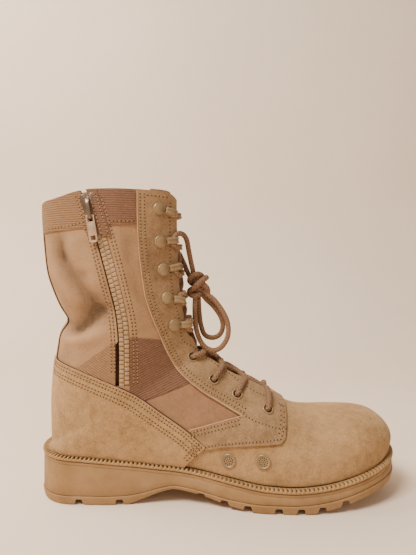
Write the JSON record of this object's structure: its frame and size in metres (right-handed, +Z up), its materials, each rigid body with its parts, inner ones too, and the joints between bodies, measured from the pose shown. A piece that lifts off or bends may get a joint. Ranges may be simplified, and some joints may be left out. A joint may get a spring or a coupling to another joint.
{
  "type": "combat boot",
  "caption": "Left desert combat boot with a lugged rubber sole, knurled welt, hollow laced upper with speed hooks, medial side zip and swinging zip pull.",
  "frame": {"origin": "on the ground under the middle of the heel, on the flat of the heel tread", "axes": "+X from heel to toe, +Y to the outer (lateral) side of this left boot, +Z up"},
  "size_m": [0.3013, 0.1063, 0.254],
  "materials": {
    "suede": "rough suede",
    "canvas": "woven canvas",
    "webbing": "ribbed webbing",
    "rubber": "matte",
    "lining": "textile",
    "painted": "satin paint",
    "teeth": "matte",
    "lace": "braided cord"
  },
  "bodies": {
    "boot": {"outsole": "rubber", "midsole": "rubber", "welt": "rubber", "insole": "lining", "upper": "canvas", "counter": "suede", "tongue": "suede", "eyestay_medial": "suede", "eyelet_medial_1": "painted", "eyelet_medial_2": "painted", "eyelet_medial_3": "painted", "eyelet_medial_4": "painted", "hook_medial_1": "painted", "hook_medial_2": "painted", "hook_medial_3": "painted", "hook_medial_4": "painted", "hook_medial_5": "painted", "eyestay_lateral": "suede", "eyelet_lateral_1": "painted", "eyelet_lateral_2": "painted", "eyelet_lateral_3": "painted", "eyelet_lateral_4": "painted", "hook_lateral_1": "painted", "hook_lateral_2": "painted", "hook_lateral_3": "painted", "hook_lateral_4": "painted", "hook_lateral_5": "painted", "vent_1": "painted", "vent_2": "painted", "zip_tape": "webbing", "zip_chain": "teeth", "zip_slider": "painted", "lace_cross_1": "lace", "lace_cross_2": "lace", "lace_cross_3": "lace", "lace_cross_4": "lace", "lace_cross_5": "lace", "lace_cross_6": "lace", "lace_cross_7": "lace", "lace_strand_high": "lace", "lace_strand_low": "lace", "lace_knot": "lace", "lace_loop_outer": "lace", "lace_loop_inner": "lace"},
    "tab": {"zip_pull": "painted"}
  },
  "joints": [
    {"name": "zip_pull_swing", "type": "hinge", "parent": "boot", "child": "tab", "pos_m": [0.014, -0.0401, 0.23], "axis": [-0.9872, 0, -0.1593], "range_deg": [0, 130]}
  ]
}
